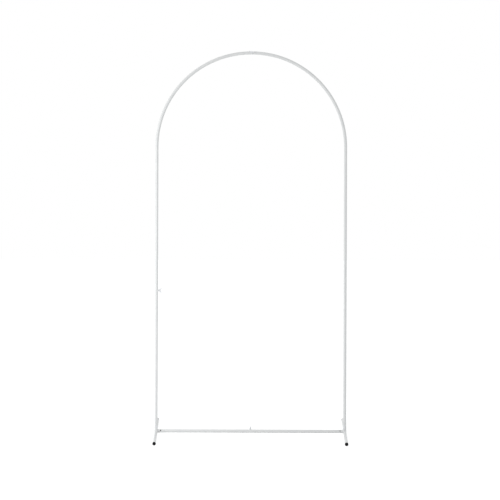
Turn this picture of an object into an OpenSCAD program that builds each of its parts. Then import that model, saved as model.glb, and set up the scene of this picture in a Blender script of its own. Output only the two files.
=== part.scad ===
// Free-standing garden and wedding arch: a knock-down frame of round steel tube.
// Each tube's reduced end slides into the plain end of the next, and wing screws clamp the joints.
// Millimetres. The floor is Z = 0, the arch stands in the XZ plane, and the front looks along -Y.

/* [Arch] */
// Overall height, from the floor to the top of the crown
arch_height = 2000; // [1800:10:2200]
// Distance between the centre lines of the two posts
post_spacing = 990; // [850:10:1200]
// Width of the groove where the two bends meet beside the crown
crown_groove = 2; // [0.5:0.5:4]
// Length of the straight leg below each bend
bend_leg = 3; // [1:1:60]
// Height of the joint halfway up each post
mid_joint_height = 785; // [600:5:1000]

/* [Tube] */
// Outer diameter of every tube
tube_d = 16; // [14:0.5:20]
// Wall thickness of every tube
tube_wall = 1; // [0.8:0.1:1.5]
// Gap all round between a reduced end and the tube that it slides into
spigot_gap = 0.1; // [0.05:0.05:0.2]
// Length of the reduced ends of the posts and bends
spigot_length = 60; // [50:1:80]
// Gap between a tube's open end and the shoulder that it seats on
seat_gap = 0.1; // [0.05:0.05:0.3]
// Distance from a tube's open end to its clamping screw
lock_setback = 37; // [25:1:44]

/* [Feet] */
// Length of a floor bar, over its end caps
foot_length = 500; // [400:10:700]
// Angle by which the front of each floor bar turns in towards the middle
foot_toe_in = 5.5; // [0:0.5:10]
// Height of the top of the socket that holds a post
post_socket_top = 50; // [46:1:80]
// Length of the socket that holds the crossbar, from the post's centre line
bar_socket_length = 45; // [36:1:70]
// Gap between a reduced end and the wall that closes its socket
socket_end_gap = 3; // [1:0.5:6]
// Distance from the top of the post socket down to its clamping screw
foot_lock_setback = 18; // [14:0.5:20]
// Angle by which a foot's clamping screw turns in from straight ahead
foot_screw_angle = 17; // [0:1:45]
// Distance from the post's centre line to the empty hole in the crossbar socket
spare_hole_distance = 25.5; // [18:0.5:28]
// Diameter of the empty hole
spare_hole_d = 6; // [4:0.5:7]
// Angle of the empty hole above straight ahead
spare_hole_tilt = 25; // [0:5:90]

/* [End caps] */
// How far a cap's rim stands out from the tube
cap_rim = 0.7; // [0.5:0.1:2]
// Depth of the flat under a cap's rim, which rests on the floor
cap_flat = 0.4; // [0.2:0.05:0.45]
// Thickness of the rim, with its dome
cap_thickness = 4; // [3:0.5:6]
// Height of the dome on the rim's end
cap_dome = 1.5; // [0.5:0.1:2.5]
// Length of the plug inside the tube
cap_plug_length = 12; // [11:0.5:20]
// Gap all round between the plug's ribs and the tube
cap_plug_gap = 0.1; // [0.05:0.05:0.3]
// Depth of the grooves between the plug's ribs
cap_groove = 0.7; // [0.4:0.1:1]
// Wall thickness of the hollow plug, at its grooves
cap_plug_wall = 1.4; // [1:0.1:2]
// Width of each rib on the plug
cap_rib_width = 1.4; // [1:0.1:2]

/* [Welded nuts] */
// Width of a nut across its flats
nut_width = 10; // [9:0.5:12]
// Height of a nut above the tube
nut_height = 5; // [4:0.5:7]
// Gap that the weld fills between nut and tube
weld_gap = 0.1; // [0.05:0.05:0.2]

/* [Wing screws] */
// Diameter of the screw
screw_d = 6; // [5:0.5:7]
// Gap all round between the screw and the holes that it passes
thread_gap = 0.15; // [0.1:0.05:0.3]
// Gap between the screw's tip and the reduced end that it clamps
tip_gap = 0.1; // [0.05:0.05:0.3]
// Length of the chamfer on the screw's tip
tip_chamfer = 0.8; // [0.4:0.1:1.2]
// Gap between the nut and the screw's hub
hub_gap = 1; // [0.3:0.1:3]
// Diameter of the hub at its foot
hub_d = 10; // [9:0.5:12]
// Diameter of the hub at its top
hub_top_d = 7.6; // [6:0.2:9]
// Height of the hub
hub_height = 8; // [7:0.5:10]
// Distance across both wing tips
wing_span = 26; // [23:0.5:32]
// Height of the wing tips above the hub's foot
wing_height = 13; // [12:0.5:18]
// Thickness of the wings
wing_thickness = 2.6; // [2:0.1:3.5]
// Diameter of the round lobe at each wing's tip
wing_lobe_d = 8.8; // [7:0.2:10]
// Diameter of each wing's narrow root
wing_root_d = 5; // [4:0.2:6]
// Turn of the crown screw's wings about its axis
crown_wing_turn = 80; // [0:5:180]
// Turn of the crossbar screw's wings about its axis
crossbar_wing_turn = 0; // [0:5:180]
// Turn of the left post screw's wings about its axis
left_wing_turn = 90; // [0:5:180]
// Turn of the right post screw's wings about its axis
right_wing_turn = 90; // [0:5:180]
// Turn of each foot screw's wings about its axis
foot_wing_turn = 117; // [60:1:120]

/* [Hidden] */

round_fn = 48;     // sides of a drawn circle
sweep_fn = 240;    // steps of a full turn of a bend
cut = 1;           // how far a cutter reaches past what it cuts

coat = [0.88, 0.89, 0.89];
zinc = [0.66, 0.67, 0.69];
black = [0.06, 0.06, 0.06];

// Tube sections
tube_r = tube_d / 2;
bore_r = tube_r - tube_wall;
spigot_r = bore_r - spigot_gap;
spigot_bore_r = spigot_r - tube_wall;
// An open end seats where its bore meets the round shoulder of the next tube
seam = sqrt(tube_r * tube_r - bore_r * bore_r) + seat_gap;

// Floor bars
cap_r = tube_r + cap_rim;
foot_axis = cap_r - cap_flat;
foot_tube_length = foot_length - 2 * cap_thickness;
post_shoulder = post_socket_top + seam;
post_foot_spigot = post_shoulder - (foot_axis + tube_r + socket_end_gap);
foot_screw_height = post_socket_top - foot_lock_setback;
bar_shoulder = bar_socket_length + seam;
bar_foot_spigot = bar_shoulder - (tube_r + socket_end_gap);

// Posts and bends
post_x = post_spacing / 2;
quarter_bend = post_x * PI / 2;
crown_axis = arch_height - tube_r;
spring_height = crown_axis - post_x;
bend_joint_height = spring_height - bend_leg;
mid_screw_height = mid_joint_height - seam - lock_setback;

// Shoulders of the inner halves, beside the crossbar screw and the crown screw
bar_joint = lock_setback + seam;
crown_joint = lock_setback + crown_groove;

// Clamping screws, measured from the tube's centre line outwards
screw_r = screw_d / 2;
screw_hole_r = screw_r + thread_gap;
screw_tip = spigot_r + tip_gap;
hub_foot = tube_r + nut_height + hub_gap;
wing_lobe_r = wing_lobe_d / 2;
wing_root_r = wing_root_d / 2;

// Turn in degrees that a run along the bend makes
function bend_angle(run) = run / post_x * 180 / PI;

function polar(centre, radius, angle) = centre + radius * [cos(angle), sin(angle)];

// A round rod, or a tube where a bore is given, from the origin up
module run(length, outer, inner = 0) {
    linear_extrude(height = length) ring(outer, inner);
}

module ring(outer, inner) {
    difference() {
        circle(r = outer, $fn = round_fn);
        if (inner > 0) circle(r = inner, $fn = round_fn);
    }
}

// The half ball where a tube rounds down to its reduced end, above the origin
module half_ball(radius) {
    intersection() {
        sphere(r = radius, $fn = round_fn);
        cylinder(h = radius + cut, r = radius + cut, $fn = round_fn);
    }
}

// A reduced end: its shoulder is at the origin and it points up
module reduced_end(length) {
    tip = tube_wall / 2;
    difference() {
        union() {
            half_ball(tube_r);
            cylinder(h = length - tip, r = spigot_r, $fn = round_fn);
            translate([0, 0, length - tip])
                cylinder(h = tip, r1 = spigot_r, r2 = spigot_r - tip, $fn = round_fn);
        }
        half_ball(bore_r);
        translate([0, 0, -cut])
            cylinder(h = length + 2 * cut, r = spigot_bore_r, $fn = round_fn);
    }
}

// A straight tube from the origin up, with reduced ends of the given lengths
module straight_tube(length, low_end, high_end = 0) {
    run(length, tube_r, bore_r);
    mirror([0, 0, 1]) reduced_end(low_end);
    if (high_end > 0) translate([0, 0, length]) reduced_end(high_end);
}

// Part of a rod or tube along the right bend, between two distances up from its leg
module bend_run(from, to, outer, inner = 0) {
    translate([0, 0, spring_height]) rotate([90, 0, 0]) rotate([0, 0, bend_angle(from)])
        rotate_extrude(angle = bend_angle(to - from), $fn = sweep_fn)
            translate([post_x, 0]) ring(outer, inner);
}

// Puts children on the left post's centre line, and mirrored ones on the right post's
module at_left() {
    translate([-post_x, 0, 0]) children();
}

module at_right() {
    mirror([1, 0, 0]) at_left() children();
}

// Puts a screw, nut or hole on an upright tube: up is outwards, and the tube runs along Y.
// Azimuth 0 faces the front and 90 faces +X.
module on_post(height, azimuth, turn = 0) {
    translate([0, 0, height]) rotate([0, 0, azimuth]) rotate([90, 0, 0])
        rotate([0, 0, turn]) children();
}

// The same on a tube along X: tilt 0 faces the front and 90 faces up
module on_bar(x, height, tilt, turn = 0) {
    translate([x, 0, height]) rotate([90 - tilt, 0, 0]) rotate([0, 0, 90 + turn]) children();
}

// A hole from the tube's centre line out through one wall
module wall_hole(radius) {
    cylinder(h = tube_r + cut, r = radius, $fn = round_fn);
}

// One foot, at the origin: a floor bar, the post's socket and the crossbar's socket, welded.
// The middle of the arch lies towards +X.
module foot() {
    weld_r = bore_r + tube_wall / 2;
    color(coat) difference() {
        union() {
            foot_bar() translate([0, 0, -foot_tube_length / 2])
                run(foot_tube_length, tube_r, bore_r);
            difference() {
                translate([0, 0, foot_axis])
                    run(post_socket_top - foot_axis, tube_r, bore_r);
                foot_bar() cylinder(h = 4 * tube_d, r = weld_r, center = true, $fn = round_fn);
            }
            difference() {
                translate([0, 0, foot_axis]) rotate([0, 90, 0])
                    run(bar_socket_length, tube_r, bore_r);
                foot_bar() cylinder(h = 4 * tube_d, r = weld_r, center = true, $fn = round_fn);
                cylinder(h = post_socket_top, r = weld_r, $fn = round_fn);
            }
        }
        on_post(foot_screw_height, foot_screw_angle) wall_hole(screw_hole_r);
        on_bar(spare_hole_distance, foot_axis, spare_hole_tilt) wall_hole(spare_hole_d / 2);
    }
}

// Puts children on a floor bar's centre line: up is towards the front
module foot_bar() {
    translate([0, 0, foot_axis]) rotate([0, 0, foot_toe_in]) rotate([90, 0, 0]) children();
}

// A ribbed end cap on a floor bar: end is 1 at the front and -1 at the back
module cap(end) {
    dome_r = (cap_r * cap_r + cap_dome * cap_dome) / (2 * cap_dome);
    plug_r = bore_r - cap_plug_gap;
    core_r = plug_r - cap_groove;
    rib_pitch = (cap_plug_length - cap_rib_width) / 3;
    color(black) foot_bar() mirror([0, 0, end > 0 ? 0 : 1])
        translate([0, 0, foot_tube_length / 2]) difference() {
            union() {
                intersection() {
                    cylinder(h = cap_thickness, r = cap_r, $fn = round_fn);
                    translate([0, 0, cap_thickness - dome_r]) sphere(r = dome_r, $fn = sweep_fn);
                }
                translate([0, 0, -cap_plug_length])
                    cylinder(h = cap_plug_length + cut, r = core_r, $fn = round_fn);
                for (rib = [0:2])
                    translate([0, 0, rib * rib_pitch - cap_plug_length])
                        cylinder(h = cap_rib_width, r = plug_r, $fn = round_fn);
            }
            translate([0, 0, -cap_plug_length - cut])
                cylinder(h = cap_plug_length + cut, r = core_r - cap_plug_wall, $fn = round_fn);
            translate([-cap_r, -foot_axis - cap_r, -cut])
                cube([2 * cap_r, cap_r, cap_thickness + 2 * cut]);
        }
}

// Left half of the crossbar: its plain end lies past the middle
module crossbar_outer() {
    start = bar_shoulder - post_x;
    color(coat) difference() {
        translate([start, 0, foot_axis]) rotate([0, 90, 0])
            straight_tube(lock_setback - start, bar_foot_spigot);
        on_bar(0, foot_axis, 90) wall_hole(screw_hole_r);
        on_bar(spare_hole_distance - post_x, foot_axis, spare_hole_tilt)
            wall_hole(spare_hole_d / 2);
    }
}

// Right half of the crossbar, reduced at both ends
module crossbar_inner() {
    color(coat) difference() {
        translate([bar_joint, 0, foot_axis]) rotate([0, 90, 0])
            straight_tube(post_x - bar_shoulder - bar_joint, spigot_length, bar_foot_spigot);
        mirror([1, 0, 0]) on_bar(spare_hole_distance - post_x, foot_axis, spare_hole_tilt)
            wall_hole(spare_hole_d / 2);
    }
}

// Lower half of a post, at the origin, with its clamping screw's hole
module lower_post(azimuth) {
    color(coat) difference() {
        translate([0, 0, post_shoulder])
            straight_tube(mid_joint_height - seam - post_shoulder, post_foot_spigot);
        on_post(mid_screw_height, azimuth) wall_hole(screw_hole_r);
    }
}

// Upper half of a post, at the origin
module upper_post() {
    color(coat) translate([0, 0, mid_joint_height])
        straight_tube(bend_joint_height - seam - mid_joint_height, spigot_length);
}

// The straight leg of the right bend, with its reduced end
module bend_leg_tube() {
    translate([post_x, 0, bend_joint_height]) straight_tube(bend_leg, spigot_length);
}

// Left bend: its reduced end reaches past the crown inside the right bend
module arch_inner() {
    shoulder = quarter_bend - crown_joint;
    tip = shoulder + spigot_length;
    color(coat) mirror([1, 0, 0]) {
        bend_leg_tube();
        difference() {
            bend_run(0, tip, tube_r);
            bend_run(shoulder, tip + cut, tube_r + cut, spigot_r);
            bend_run(-cut, shoulder - tube_wall, bore_r);
            bend_run(-cut, tip + cut, spigot_bore_r);
        }
    }
}

// Right bend: its plain end lies past the crown, round the left bend's reduced end
module arch_outer() {
    color(coat) difference() {
        union() {
            bend_leg_tube();
            bend_run(0, quarter_bend + lock_setback, tube_r, bore_r);
        }
        on_bar(0, crown_axis, 0) wall_hole(screw_hole_r);
    }
}

// A hexagon nut, coped to the tube and bored for the screw
module weld_nut() {
    color(zinc) difference() {
        cylinder(h = tube_r + nut_height, r = nut_width / sqrt(3), $fn = 6);
        rotate([90, 0, 0])
            cylinder(h = 2 * nut_width, r = tube_r + weld_gap, center = true, $fn = round_fn);
        cylinder(h = tube_r + nut_height + cut, r = screw_hole_r, $fn = round_fn);
    }
}

// A wing screw: shank, tapered hub and two wings
module wing_screw() {
    color(zinc) {
        translate([0, 0, screw_tip])
            cylinder(h = tip_chamfer, r1 = screw_r - tip_chamfer, r2 = screw_r, $fn = round_fn);
        translate([0, 0, screw_tip + tip_chamfer])
            cylinder(h = hub_foot + cut - screw_tip - tip_chamfer, r = screw_r, $fn = round_fn);
        translate([0, 0, hub_foot])
            cylinder(h = hub_height, r1 = hub_d / 2, r2 = hub_top_d / 2, $fn = round_fn);
        translate([0, 0, hub_foot]) rotate([90, 0, 0])
            linear_extrude(height = wing_thickness, center = true) {
                wing();
                mirror([1, 0]) wing();
            }
    }
}

// Outline of one wing: a narrow root that widens to a round lobe
module wing() {
    root = [hub_top_d / 4, wing_root_r + wing_thickness / 4];
    lobe = [wing_span / 2 - wing_lobe_r, wing_height - wing_lobe_r];
    reach = lobe - root;
    lean = atan2(reach.y, reach.x);
    side = acos((wing_root_r - wing_lobe_r) / norm(reach));
    translate(root) circle(r = wing_root_r, $fn = round_fn);
    translate(lobe) circle(r = wing_lobe_r, $fn = round_fn);
    polygon([
        polar(root, wing_root_r, lean - side), polar(lobe, wing_lobe_r, lean - side),
        polar(lobe, wing_lobe_r, lean + side), polar(root, wing_root_r, lean + side)
    ]);
}

at_left() foot();  // foot_left
at_right() foot();  // foot_right
at_left() cap(1);  // cap_left_front
at_left() cap(-1);  // cap_left_back
at_right() cap(1);  // cap_right_front
at_right() cap(-1);  // cap_right_back
crossbar_outer();  // crossbar_left
crossbar_inner();  // crossbar_right
at_left() lower_post(90);  // lower_post_left
at_right() lower_post(180);  // lower_post_right
at_left() upper_post();  // upper_post_left
at_right() upper_post();  // upper_post_right
arch_inner();  // arch_left
arch_outer();  // arch_right
on_bar(0, crown_axis, 0) weld_nut();  // nut_crown
on_bar(0, foot_axis, 90) weld_nut();  // nut_crossbar
at_left() on_post(mid_screw_height, 90) weld_nut();  // nut_post_left
at_right() on_post(mid_screw_height, 180) weld_nut();  // nut_post_right
at_left() on_post(foot_screw_height, foot_screw_angle) weld_nut();  // nut_foot_left
at_right() on_post(foot_screw_height, foot_screw_angle) weld_nut();  // nut_foot_right
on_bar(0, crown_axis, 0, crown_wing_turn) wing_screw();  // screw_crown
on_bar(0, foot_axis, 90, crossbar_wing_turn) wing_screw();  // screw_crossbar
at_left() on_post(mid_screw_height, 90, left_wing_turn) wing_screw();  // screw_post_left
at_right() on_post(mid_screw_height, 180, right_wing_turn) wing_screw();  // screw_post_right
at_left() on_post(foot_screw_height, foot_screw_angle, foot_wing_turn) wing_screw();  // screw_foot_left
at_right() on_post(foot_screw_height, foot_screw_angle, foot_wing_turn) wing_screw();  // screw_foot_right
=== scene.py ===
"""Looks of a free-standing knock-down arch frame of white steel tube.

Metres, floor at Z = 0, front along -Y.
"""
import math

import bpy
import bmesh
from mathutils import Matrix, Vector


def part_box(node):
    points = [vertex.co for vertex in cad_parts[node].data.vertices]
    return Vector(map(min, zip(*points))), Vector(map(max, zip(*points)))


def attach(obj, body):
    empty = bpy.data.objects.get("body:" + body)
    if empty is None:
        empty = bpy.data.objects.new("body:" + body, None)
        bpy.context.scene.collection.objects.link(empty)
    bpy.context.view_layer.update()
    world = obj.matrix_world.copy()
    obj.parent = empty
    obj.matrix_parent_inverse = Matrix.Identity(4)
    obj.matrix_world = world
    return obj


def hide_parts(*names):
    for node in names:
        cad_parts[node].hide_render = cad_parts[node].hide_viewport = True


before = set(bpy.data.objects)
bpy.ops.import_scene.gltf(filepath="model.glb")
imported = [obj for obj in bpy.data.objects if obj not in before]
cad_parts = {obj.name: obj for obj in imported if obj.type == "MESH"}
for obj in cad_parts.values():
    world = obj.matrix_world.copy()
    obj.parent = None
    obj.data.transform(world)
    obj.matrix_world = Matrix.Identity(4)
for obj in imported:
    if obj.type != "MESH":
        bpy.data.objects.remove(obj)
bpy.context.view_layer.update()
MM = 0.001


# Places and sizes from the frame

def middle(node):
    low, high = (Vector(corner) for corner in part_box(node))
    return (low + high) / 2


def span(node):
    low, high = (Vector(corner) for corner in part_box(node))
    return high - low


TUBE_R = span("upper_post_right").x / 2
POST_X = middle("upper_post_right").x
FOOT_AXIS = middle("crossbar_left").z
CROWN_AXIS = Vector(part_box("arch_right")[1]).z - TUBE_R
SPRING_HEIGHT = CROWN_AXIS - POST_X
MID_SCREW_HEIGHT = middle("nut_post_left").z
FOOT_SCREW_HEIGHT = middle("nut_foot_left").z

# A floor bar's front end turns in towards the middle by this angle
TOE_IN = math.radians(5.5)
# A foot's screw looks to the front, turned towards the middle by this angle
FOOT_SCREW_ANGLE = math.radians(17)

UP = Vector((0, 0, 1))
FRONT = Vector((0, -1, 0))
RIGHT = Vector((1, 0, 0))


def station(centre, outward, along, turn=0.0):
    """A frame on a tube's centre line: Z outwards, Y along the tube."""
    z = outward.normalized()
    y = along.normalized()
    x = y.cross(z)
    turned = Matrix((x, y, z)).transposed().to_4x4() @ Matrix.Rotation(turn, 4, "Z")
    return Matrix.Translation(centre) @ turned


def side_of(side, vector):
    """The left foot's vector for side -1, and its mirror image for side 1."""
    return Vector((-side * vector[0], vector[1], vector[2]))


FOOT_SCREW_OUT = Vector((math.sin(FOOT_SCREW_ANGLE), -math.cos(FOOT_SCREW_ANGLE), 0))

# Each screw's centre on its tube's axis, where it looks, the tube's direction and its wings' turn in degrees
STATIONS = {
    "crown": (Vector((0, 0, CROWN_AXIS)), FRONT, -RIGHT, 80),
    "crossbar": (Vector((0, 0, FOOT_AXIS)), UP, -RIGHT, 0),
    "post_left": (Vector((-POST_X, 0, MID_SCREW_HEIGHT)), RIGHT, UP, 90),
    "post_right": (Vector((POST_X, 0, MID_SCREW_HEIGHT)), -FRONT, UP, 90),
    "foot_left": (Vector((-POST_X, 0, FOOT_SCREW_HEIGHT)), side_of(-1, FOOT_SCREW_OUT), UP, 117),
    "foot_right": (Vector((POST_X, 0, FOOT_SCREW_HEIGHT)), side_of(1, FOOT_SCREW_OUT), UP, -117),
}


# Materials

def new_material(name, slot_color, roughness, metallic=0.0):
    mat = bpy.data.materials.new(name)
    mat.use_nodes = True
    nodes = mat.node_tree.nodes
    shader = nodes["Principled BSDF"]
    shader.inputs["Base Color"].default_value = (*slot_color, 1)
    shader.inputs["Roughness"].default_value = roughness
    shader.inputs["Metallic"].default_value = metallic
    return mat, nodes, mat.node_tree.links, shader


def noise(nodes, links, coords, scale, detail=3.0, rough=0.55):
    node = nodes.new("ShaderNodeTexNoise")
    node.inputs["Scale"].default_value = scale
    node.inputs["Detail"].default_value = detail
    node.inputs["Roughness"].default_value = rough
    links.new(coords, node.inputs["Vector"])
    return node.outputs["Fac"]


def spread(nodes, links, value, low, high, low_in=0.3, high_in=0.7):
    node = nodes.new("ShaderNodeMapRange")
    node.inputs["From Min"].default_value = low_in
    node.inputs["From Max"].default_value = high_in
    node.inputs["To Min"].default_value = low
    node.inputs["To Max"].default_value = high
    links.new(value, node.inputs["Value"])
    return node.outputs["Result"]


def tint(nodes, links, factor, dark, light):
    node = nodes.new("ShaderNodeMix")
    node.data_type = "RGBA"
    node.inputs["A"].default_value = (*dark, 1)
    node.inputs["B"].default_value = (*light, 1)
    links.new(factor, node.inputs["Factor"])
    return node.outputs["Result"]


def bump(nodes, links, height, distance, strength=1.0, after=None):
    node = nodes.new("ShaderNodeBump")
    node.inputs["Distance"].default_value = distance
    node.inputs["Strength"].default_value = strength
    links.new(height, node.inputs["Height"])
    if after is not None:
        links.new(after, node.inputs["Normal"])
    return node.outputs["Normal"]


def object_coords(nodes):
    return nodes.new("ShaderNodeTexCoord").outputs["Object"]


def powder_coat():
    """White powder coat: fine orange peel, faint mottling and duller rubbed patches."""
    mat, nodes, links, shader = new_material("white_coat", (0.86, 0.87, 0.87), 0.33)
    coords = object_coords(nodes)
    mottle = noise(nodes, links, coords, 22, 4)
    links.new(tint(nodes, links, spread(nodes, links, mottle, 0, 1),
                   (0.835, 0.845, 0.85), (0.875, 0.885, 0.88)), shader.inputs["Base Color"])
    rub = noise(nodes, links, coords, 60, 5, 0.7)
    links.new(spread(nodes, links, rub, 0.27, 0.46), shader.inputs["Roughness"])
    peel = noise(nodes, links, coords, 700, 2)
    fine = noise(nodes, links, coords, 2600, 1)
    rolled = bump(nodes, links, peel, 0.04 * MM, 0.8)
    links.new(bump(nodes, links, fine, 0.01 * MM, 0.5, rolled), shader.inputs["Normal"])
    shader.inputs["Coat Weight"].default_value = 0.25
    shader.inputs["Coat Roughness"].default_value = 0.12
    return mat


def zinc_plate():
    """Bright zinc with cloudy patches and a cast grain."""
    mat, nodes, links, shader = new_material("zinc_plate", (0.74, 0.75, 0.77), 0.30, 1.0)
    coords = object_coords(nodes)
    cloud = noise(nodes, links, coords, 260, 4, 0.65)
    links.new(tint(nodes, links, spread(nodes, links, cloud, 0, 1),
                   (0.58, 0.59, 0.61), (0.78, 0.79, 0.81)), shader.inputs["Base Color"])
    links.new(spread(nodes, links, cloud, 0.44, 0.24), shader.inputs["Roughness"])
    grain = noise(nodes, links, coords, 1900, 3)
    links.new(bump(nodes, links, grain, 0.03 * MM, 0.7), shader.inputs["Normal"])
    return mat


def black_plastic():
    """Moulded black plastic with a fine grain and rubbed, slightly paler patches."""
    mat, nodes, links, shader = new_material("black_plastic", (0.010, 0.010, 0.011), 0.55)
    shader.inputs["Specular IOR Level"].default_value = 0.12
    coords = object_coords(nodes)
    wear = noise(nodes, links, coords, 300, 4, 0.6)
    links.new(tint(nodes, links, spread(nodes, links, wear, 0, 1),
                   (0.007, 0.007, 0.008), (0.014, 0.014, 0.015)), shader.inputs["Base Color"])
    links.new(spread(nodes, links, wear, 0.48, 0.66), shader.inputs["Roughness"])
    grain = noise(nodes, links, coords, 3200, 2)
    links.new(bump(nodes, links, grain, 0.03 * MM, 0.8), shader.inputs["Normal"])
    return mat


def bare_steel_hole_shade():
    """Dark steel inside a tube: partly the uncoated inside where no coat reaches, partly painted shade of a
    deep screw hole.
    """
    mat, nodes, links, shader = new_material("bare_steel_hole_shade", (0.045, 0.042, 0.040), 0.75)
    scale = noise(nodes, links, object_coords(nodes), 420, 4, 0.6)
    links.new(tint(nodes, links, spread(nodes, links, scale, 0, 1),
                   (0.030, 0.028, 0.026), (0.060, 0.055, 0.050)), shader.inputs["Base Color"])
    return mat


WHITE = powder_coat()
ZINC = zinc_plate()
BLACK = black_plastic()
BARE_STEEL_HOLE_SHADE = bare_steel_hole_shade()


# Mesh helpers

def mesh_object(name, verts, faces, material, matrix=None, smooth_angle=35):
    mesh = bpy.data.meshes.new(name)
    mesh.from_pydata([tuple(v) for v in verts], [], faces)
    if matrix is not None:
        mesh.transform(matrix)
    finish_mesh(mesh, smooth_angle)
    mesh.materials.append(material)
    obj = bpy.data.objects.new(name, mesh)
    bpy.context.scene.collection.objects.link(obj)
    return obj


def finish_mesh(mesh, smooth_angle):
    """Welds doubles, turns the faces outwards and shades smooth across soft edges."""
    work = bmesh.new()
    work.from_mesh(mesh)
    bmesh.ops.remove_doubles(work, verts=work.verts, dist=1e-7)
    bmesh.ops.recalc_face_normals(work, faces=work.faces)
    limit = math.radians(smooth_angle)
    for face in work.faces:
        face.smooth = True
    for edge in work.edges:
        edge.smooth = len(edge.link_faces) == 2 and edge.calc_face_angle(0) < limit
    work.to_mesh(mesh)
    work.free()
    mesh.update()


def grid_faces(rows, columns, closed_rows=False):
    """Quads of a grid whose columns close into rings."""
    faces = []
    for row in range(rows if closed_rows else rows - 1):
        upper = (row + 1) % rows
        for col in range(columns):
            nxt = (col + 1) % columns
            faces.append((row * columns + col, row * columns + nxt,
                          upper * columns + nxt, upper * columns + col))
    return faces


def lathe(profile, sides):
    """Vertices and faces of a profile of (radius, height) turned about Z. A radius of 0 closes the end."""
    verts = []
    for radius, height in profile:
        for step in range(sides):
            angle = math.tau * step / sides
            verts.append((radius * math.cos(angle), radius * math.sin(angle), height))
    return verts, grid_faces(len(profile), sides)


def arc_points(centre, radius, start, end, steps):
    """Points of an arc in a profile, angles in degrees from the radius axis."""
    points = []
    for step in range(steps + 1):
        angle = math.radians(start + (end - start) * step / steps)
        points.append((centre[0] + radius * math.cos(angle), centre[1] + radius * math.sin(angle)))
    return points


# Beads are ground flat this far above the floor
FLOOR_GAP = 0.1 * MM
BEAD_SIDES = 10


def bead(name, path, axis, radius, ripple_pitch, place):
    """A closed weld bead along a loop of points round an axis, with a weld pool's ripples."""
    count = len(path)
    verts = []
    travelled = 0.0
    for index, point in enumerate(path):
        before = path[index - 1]
        after = path[(index + 1) % count]
        forward = (after - before).normalized()
        out = (point - axis * point.dot(axis)).normalized()
        across = forward.cross(out).normalized()
        lift = across.cross(forward).normalized()
        travelled += (point - before).length
        phase = (travelled / ripple_pitch) % 1.0
        size = radius * (0.86 + 0.22 * math.sqrt(phase))
        for step in range(BEAD_SIDES):
            angle = math.tau * step / BEAD_SIDES
            spot = place @ (point + size * (math.cos(angle) * across + math.sin(angle) * lift))
            spot.z = max(spot.z, FLOOR_GAP)
            verts.append(spot)
    return mesh_object(name, verts, grid_faces(count, BEAD_SIDES, True), WHITE, smooth_angle=80)


def join(name, pieces):
    """Joins pieces into the first one and names it."""
    bpy.ops.object.select_all(action="DESELECT")
    for piece in pieces:
        piece.select_set(True)
    bpy.context.view_layer.objects.active = pieces[0]
    bpy.ops.object.join()
    pieces[0].name = name
    return pieces[0]


def applied(obj):
    """Replaces an object's mesh by the result of its modifiers."""
    graph = bpy.context.evaluated_depsgraph_get()
    mesh = bpy.data.meshes.new_from_object(obj.evaluated_get(graph))
    obj.modifiers.clear()
    obj.data = mesh
    return mesh


# Wing screws

THREAD_PITCH = 1.0 * MM
THREAD_R = 3.0 * MM
THREAD_DEPTH = 0.58 * MM
NUT_HEIGHT = 5 * MM
NUT_WIDTH = 10 * MM
NUT_HOLE_R = 3.15 * MM
NUT_SEAT_R = TUBE_R + 0.1 * MM
NUT_SINK = 0.5 * MM
NUT_CHAMFER = math.radians(30)
NUT_BEAD_R = 0.85 * MM
NUT_BEAD_RIPPLE = 1.7 * MM
HUB_FOOT = TUBE_R + 6 * MM
HUB_HEIGHT = 8 * MM
HUB_R = 5 * MM
HUB_TOP_R = 3.8 * MM
WING_SPAN = 26 * MM
WING_HEIGHT = 13 * MM
LOBE_R = 4.4 * MM
ROOT_R = 2.5 * MM
WING_THICKNESS = 2.6 * MM
SCREW_TIP = TUBE_R - 1.0 * MM


def thread(bottom, top):
    """A threaded shank with a rolled V thread that fades at its tip."""
    sides = 40
    rows = int((top - bottom) / (THREAD_PITCH / 8))
    verts = []
    for row in range(rows + 1):
        height = bottom + (top - bottom) * row / rows
        fade = min(1.0, (height - bottom) / (0.8 * MM))
        for side in range(sides):
            turn = side / sides
            phase = (height / THREAD_PITCH - turn) % 1.0
            groove = abs(2 * phase - 1)
            radius = THREAD_R - THREAD_DEPTH * (1 - groove) - (1 - fade) * 0.7 * MM
            verts.append((radius * math.cos(math.tau * turn), radius * math.sin(math.tau * turn), height))
    faces = grid_faces(rows + 1, sides)
    faces.append(tuple(reversed(range(sides))))
    faces.append(tuple(range(rows * sides, (rows + 1) * sides)))
    return verts, faces


def wing_outline():
    """One wing's outline in (x, height above the hub's foot): a narrow root and a round lobe."""
    root = Vector((HUB_TOP_R / 2, ROOT_R + 0.6 * MM))
    lobe = Vector((WING_SPAN / 2 - LOBE_R, WING_HEIGHT - LOBE_R))
    reach = lobe - root
    lean = math.degrees(math.atan2(reach.y, reach.x))
    side = math.degrees(math.acos((ROOT_R - LOBE_R) / reach.length))
    outline = arc_points(lobe, LOBE_R, lean - side, lean + side, 28)
    outline += arc_points(root, ROOT_R, lean + side, lean - side + 360, 12)
    return outline


def prism(outline, thickness):
    """A closed plate from an outline in the XZ plane."""
    count = len(outline)
    verts = [(x, -thickness / 2, z) for x, z in outline] + [(x, thickness / 2, z) for x, z in outline]
    faces = [tuple(range(count)), tuple(reversed(range(count, 2 * count)))]
    for index in range(count):
        nxt = (index + 1) % count
        faces.append((index, index + count, nxt + count, nxt))
    return verts, faces


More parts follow.
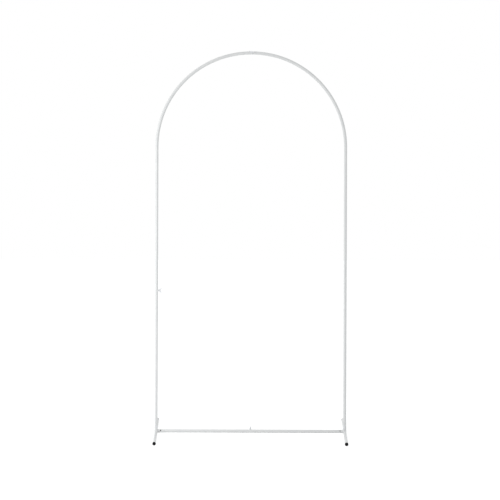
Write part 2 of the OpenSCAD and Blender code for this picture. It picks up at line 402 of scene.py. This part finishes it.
def cast_head():
    """Hub and wings melted together as one casting, with soft edges and filleted roots."""
    parts = []
    hub = [(0, 0), (HUB_R - 0.5 * MM, 0), (HUB_R, 0.5 * MM), (HUB_TOP_R, HUB_HEIGHT - 0.8 * MM),
           (HUB_TOP_R - 0.8 * MM, HUB_HEIGHT), (0, HUB_HEIGHT + 0.2 * MM)]
    parts.append(mesh_object("hub", *lathe(hub, 40), ZINC))
    for side in (1, -1):
        outline = [(side * x, z) for x, z in wing_outline()]
        parts.append(mesh_object("wing", *prism(outline, WING_THICKNESS), ZINC))
    head = join("cast_head", parts)
    remesh = head.modifiers.new("Melt", "REMESH")
    remesh.mode = "VOXEL"
    remesh.voxel_size = 0.34 * MM
    soften = head.modifiers.new("Soften", "SMOOTH")
    soften.factor = 0.5
    soften.iterations = 4
    return head


HEAD = cast_head()
HEAD_MESH = applied(HEAD)


def wing_screw(name, place):
    """A wing screw at a station: cast head on a threaded shank."""
    head = bpy.data.objects.new(name, HEAD_MESH.copy())
    head.data.transform(place @ Matrix.Translation((0, 0, HUB_FOOT)))
    for face in head.data.polygons:
        face.use_smooth = True
    bpy.context.scene.collection.objects.link(head)
    shank = mesh_object("shank", *thread(SCREW_TIP, HUB_FOOT + 0.4 * MM), ZINC, place, 60)
    screw = join(name, [head, shank])
    screw.data.materials.clear()
    screw.data.materials.append(ZINC)
    return screw


# Welded nuts

def hex_radius(angle, width):
    """Distance from a hexagon's middle to its side, with corners at 0, 60, ... degrees."""
    off = (math.degrees(angle) % 60) - 30
    return width / 2 / math.cos(math.radians(off))


def weld_nut(name, place):
    """A chamfered hexagon nut coped to the tube, with a countersunk threaded bore."""
    sides = 96
    top = TUBE_R + NUT_HEIGHT
    flat_r = NUT_WIDTH / 2 * 0.97
    # bore at the tube, bore and countersink at the top, flat, chamfer, and the side at the tube
    rings = [[], [], [], [], [], []]
    for step in range(sides):
        angle = math.tau * step / sides
        edge = hex_radius(angle, NUT_WIDTH)
        unit = Vector((math.cos(angle), math.sin(angle)))
        seat = math.sqrt(max(0.0, NUT_SEAT_R ** 2 - (edge * unit.x) ** 2))
        inner_seat = math.sqrt(NUT_SEAT_R ** 2 - (NUT_HOLE_R * unit.x) ** 2)
        bevel = (edge - flat_r) * math.tan(NUT_CHAMFER)
        rings[0].append((NUT_HOLE_R * unit.x, NUT_HOLE_R * unit.y, inner_seat))
        rings[1].append((NUT_HOLE_R * unit.x, NUT_HOLE_R * unit.y, top - NUT_SINK))
        rings[2].append(((NUT_HOLE_R + NUT_SINK) * unit.x, (NUT_HOLE_R + NUT_SINK) * unit.y, top))
        rings[3].append((flat_r * unit.x, flat_r * unit.y, top))
        rings[4].append((edge * unit.x, edge * unit.y, top - bevel))
        rings[5].append((edge * unit.x, edge * unit.y, seat))
    verts = [v for ring in rings for v in ring]
    return mesh_object(name, verts, grid_faces(len(rings), sides, True), WHITE, place, 25)


def nut_bead(name, place):
    """The weld round a nut's foot, on the tube's surface."""
    path = []
    for step in range(72):
        angle = math.tau * step / 72
        reach = min(hex_radius(angle, NUT_WIDTH), NUT_WIDTH * 0.555) + 0.25 * MM
        x = reach * math.cos(angle)
        path.append(Vector((x, reach * math.sin(angle), math.sqrt(TUBE_R ** 2 - x ** 2) - 0.1 * MM)))
    return bead(name, path, UP, NUT_BEAD_R, NUT_BEAD_RIPPLE, place)


# End caps

CAP_THICKNESS = 4 * MM
CAP_RIM = 0.7 * MM


def end_cap(name, side, end):
    """A moulded plug cap: soft rim, shallow ring and gate mark on its domed end, flat underneath."""
    outward = side_of(side, (end * math.sin(TOE_IN), -end * math.cos(TOE_IN), 0))
    rim_r = TUBE_R + CAP_RIM
    profile = [(0, 0.0), (rim_r - 0.3 * MM, 0.0), (rim_r, 0.3 * MM)]
    profile += arc_points((rim_r - 0.8 * MM, CAP_THICKNESS - 2.3 * MM), 0.8 * MM, 0, 62, 6)
    edge_r, edge_h = profile[-1]
    dome_rise = CAP_THICKNESS - edge_h
    for step in range(1, 24):
        radius = edge_r * (1 - step / 24)
        height = edge_h + dome_rise * (1 - (radius / edge_r) ** 2)
        ring = 0.35 * MM * math.exp(-((radius - 5.2 * MM) / (0.35 * MM)) ** 2)
        gate = 0.3 * MM * math.exp(-(radius / (0.9 * MM)) ** 4)
        profile.append((radius, height - ring - gate))
    profile.append((0, CAP_THICKNESS - 0.3 * MM))
    verts, faces = lathe(profile, 72)
    place = station(foot_tube_end(side, outward), outward, UP)
    pressed = [(x, max(y, -FOOT_AXIS), z) for x, y, z in verts]
    return mesh_object(name, pressed, faces, BLACK, place, 40)


def foot_tube_end(side, outward):
    """Where the tube of a floor bar ends."""
    foot = "foot_right" if side > 0 else "foot_left"
    reach = (span(foot).y / 2 - TUBE_R * abs(outward.x)) / abs(outward.y)
    return Vector((side * POST_X, 0, FOOT_AXIS)) + outward * reach


# Weld beads of the feet

SOCKET_BEAD_R = 1.2 * MM
SOCKET_BEAD_RIPPLE = 1.9 * MM


def post_socket_bead(side):
    """Where the post's socket stands on the floor bar."""
    across = side_of(side, (math.cos(TOE_IN), math.sin(TOE_IN), 0))
    path = []
    for step in range(96):
        angle = math.tau * step / 96
        x = TUBE_R * math.cos(angle)
        y = TUBE_R * math.sin(angle)
        off = x * across.x + y * across.y
        path.append(Vector((x, y, math.sqrt(max(0.0, TUBE_R ** 2 - off ** 2)) + 0.2 * MM)))
    return path


def bar_socket_bead(side):
    """Where the crossbar's socket meets the floor bar and the post's socket."""
    path = []
    for step in range(96):
        angle = math.tau * step / 96
        y = TUBE_R * math.cos(angle)
        z = TUBE_R * math.sin(angle)
        on_bar = (abs(y) - y * math.sin(TOE_IN)) / math.cos(TOE_IN)
        on_post = z if z > 0 else 0.0
        path.append(Vector((-side * max(on_bar, on_post), y, z)))
    return path


# Place and size of the dark sleeve inside a crossbar's reduced end: bare steel and painted shade of the
# screw hole
HOLE_SHADE_START = TUBE_R + 3.5 * MM
HOLE_SHADE_LENGTH = 30 * MM
HOLE_SHADE_OUTER_R = TUBE_R - 2.2 * MM
HOLE_SHADE_INNER_R = HOLE_SHADE_OUTER_R - 0.2 * MM


def bare_inside_hole_shade(name, side):
    """The uncoated inside of a crossbar's reduced end, darkened as painted shade of the empty screw hole it
    is seen through.
    """
    profile = [(HOLE_SHADE_OUTER_R, 0), (HOLE_SHADE_OUTER_R, HOLE_SHADE_LENGTH), (HOLE_SHADE_INNER_R, HOLE_SHADE_LENGTH),
               (HOLE_SHADE_INNER_R, 0), (HOLE_SHADE_OUTER_R, 0)]
    verts, faces = lathe(profile, 48)
    place = station(Vector((side * (POST_X - HOLE_SHADE_START), 0, FOOT_AXIS)), side * -RIGHT, UP)
    return mesh_object(name, verts, faces, BARE_STEEL_HOLE_SHADE, place, 40)


# Putting the pieces on the frame

def ride(piece):
    """Lets a piece ride on the only body."""
    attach(piece, "root")


def build():
    """Makes every screw, nut, cap and weld, and a dark sleeve of bare steel and painted shade inside one
    tube.
    """
    for name, (centre, outward, along, turn) in STATIONS.items():
        fixed = station(centre, outward, along)
        turned = station(centre, outward, along, math.radians(turn))
        nut = weld_nut("hex_nut_" + name, fixed)
        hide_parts("nut_" + name)
        ride(nut)
        ride(nut_bead("nut_weld_" + name, fixed))
        screw = wing_screw("wing_screw_" + name, turned)
        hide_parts("screw_" + name)
        ride(screw)
    for side, side_name in ((-1, "left"), (1, "right")):
        for end, end_name in ((1, "front"), (-1, "back")):
            node = "cap_%s_%s" % (side_name, end_name)
            cap = end_cap("plug_%s_%s" % (side_name, end_name), side, end)
            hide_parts(node)
            ride(cap)
        corner = Matrix.Translation((side * POST_X, 0, FOOT_AXIS))
        welds = (("post_socket_weld_", post_socket_bead(side), UP),
                 ("bar_socket_weld_", bar_socket_bead(side), RIGHT))
        for weld, path, axis in welds:
            ride(bead(weld + side_name, path, axis, SOCKET_BEAD_R, SOCKET_BEAD_RIPPLE, corner))
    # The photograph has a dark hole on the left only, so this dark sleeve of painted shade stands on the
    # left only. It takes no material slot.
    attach(bare_inside_hole_shade("bare_inside_left", -1), "root")


def dress_frame():
    """Gives every CAD node that stays its finish."""
    for name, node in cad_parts.items():
        if name.startswith(("nut_", "screw_", "cap_")):
            continue
        node.data.materials.clear()
        node.data.materials.append(WHITE)


# Stage, light and camera

# The photograph's scale at the arch's own plane, and where it has the arch's middle half way up
SCALE_PX_PER_M = 190.6
ARCH_MIDDLE_PX = 250.9
IMAGE_PX = 500

CAMERA_DISTANCE = 3.67
CAMERA_HEIGHT = 0.958
CAMERA_ROLL = math.radians(-0.19)
SENSOR_MM = 36.0

FILL_LEVEL = 0.605
FLOOR_COLOR = 0.88
FLOOR_GLOW = 0.52
FLOOR_HALF = 60.0
SUN_SOFTNESS = 50
SOFTBOX_HEIGHT = 1.05


def light_path_mix(nodes, links, seen, other, out_node):
    """Mixes in what camera, glossy and transmission rays see."""
    path = nodes.new("ShaderNodeLightPath")
    first = nodes.new("ShaderNodeMath")
    first.operation = "MAXIMUM"
    links.new(path.outputs["Is Camera Ray"], first.inputs[0])
    links.new(path.outputs["Is Glossy Ray"], first.inputs[1])
    second = nodes.new("ShaderNodeMath")
    second.operation = "MAXIMUM"
    links.new(first.outputs[0], second.inputs[0])
    links.new(path.outputs["Is Transmission Ray"], second.inputs[1])
    mix = nodes.new("ShaderNodeMixShader")
    links.new(second.outputs[0], mix.inputs["Fac"])
    links.new(other, mix.inputs[1])
    links.new(seen, mix.inputs[2])
    links.new(mix.outputs[0], out_node.inputs["Surface"])


def make_world():
    """White for the eye and in reflections, and a pale, weaker fill as light."""
    world = bpy.data.worlds.new("studio")
    bpy.context.scene.world = world
    world.use_nodes = True
    nodes = world.node_tree.nodes
    links = world.node_tree.links
    nodes.clear()
    out = nodes.new("ShaderNodeOutputWorld")
    white = nodes.new("ShaderNodeBackground")
    white.inputs["Color"].default_value = (1, 1, 1, 1)
    white.inputs["Strength"].default_value = 1.0
    fill = nodes.new("ShaderNodeBackground")
    fill.inputs["Color"].default_value = (0.985, 0.995, 1.0, 1)
    fill.inputs["Strength"].default_value = FILL_LEVEL
    light_path_mix(nodes, links, white.outputs[0], fill.outputs[0], out)


def make_sun(name, direction, level):
    """A soft sun from a direction. Level 1 lights a facing white surface to white."""
    data = bpy.data.lights.new(name, "SUN")
    data.energy = level * math.pi
    data.angle = math.radians(SUN_SOFTNESS)
    obj = bpy.data.objects.new(name, data)
    obj.rotation_euler = Vector(direction).to_track_quat("Z", "Y").to_euler()
    bpy.context.scene.collection.objects.link(obj)


def make_softbox(name, place, target, size, watts):
    """A rectangular lamp at a place, aimed at a target."""
    data = bpy.data.lights.new(name, "AREA")
    data.shape = "RECTANGLE"
    data.size, data.size_y = size
    data.energy = watts
    obj = bpy.data.objects.new(name, data)
    obj.location = place
    obj.rotation_euler = (place - target).to_track_quat("Z", "Y").to_euler()
    bpy.context.scene.collection.objects.link(obj)


def make_floor():
    """A pale floor that glows to white for the eye and keeps the object's shadow."""
    corners = [(x * FLOOR_HALF, y * FLOOR_HALF, 0) for x, y in ((-1, -1), (1, -1), (1, 1), (-1, 1))]
    mat = bpy.data.materials.new("floor")
    mat.use_nodes = True
    nodes = mat.node_tree.nodes
    links = mat.node_tree.links
    nodes.clear()
    out = nodes.new("ShaderNodeOutputMaterial")
    matte = nodes.new("ShaderNodeBsdfDiffuse")
    matte.inputs["Color"].default_value = (FLOOR_COLOR, FLOOR_COLOR, FLOOR_COLOR, 1)
    glow = nodes.new("ShaderNodeEmission")
    glow.inputs["Color"].default_value = (1, 1, 1, 1)
    glow.inputs["Strength"].default_value = FLOOR_GLOW
    both = nodes.new("ShaderNodeAddShader")
    links.new(matte.outputs[0], both.inputs[0])
    links.new(glow.outputs[0], both.inputs[1])
    light_path_mix(nodes, links, both.outputs[0], matte.outputs[0], out)
    floor = mesh_object("floor", corners, [(0, 1, 2, 3)], mat)


def make_camera():
    """The photograph's view, level and square to the arch but for a slight roll."""
    data = bpy.data.cameras.new("camera")
    data.sensor_fit = "HORIZONTAL"
    data.sensor_width = SENSOR_MM
    data.lens = SENSOR_MM * SCALE_PX_PER_M * CAMERA_DISTANCE / IMAGE_PX
    camera = bpy.data.objects.new("camera", data)
    offset = (IMAGE_PX / 2 - ARCH_MIDDLE_PX) / SCALE_PX_PER_M
    camera.location = (offset, -CAMERA_DISTANCE, CAMERA_HEIGHT)
    camera.rotation_euler = (math.radians(90), CAMERA_ROLL, 0)
    bpy.context.scene.collection.objects.link(camera)
    bpy.context.scene.camera = camera


build()
dress_frame()
bpy.data.objects.remove(HEAD)
make_world()
make_sun("sun_left", (-0.9, -0.15, 0.35), 0.08)
make_sun("sun_right", (0.9, -0.10, 0.40), 0.025)
make_softbox("softbox_left", Vector((-1.35, -1.10, SOFTBOX_HEIGHT)),
             Vector((-POST_X, 0, SOFTBOX_HEIGHT)), (0.6, 2.0), 10.5)
make_floor()
make_camera()
bpy.context.scene.view_settings.view_transform = "Standard"
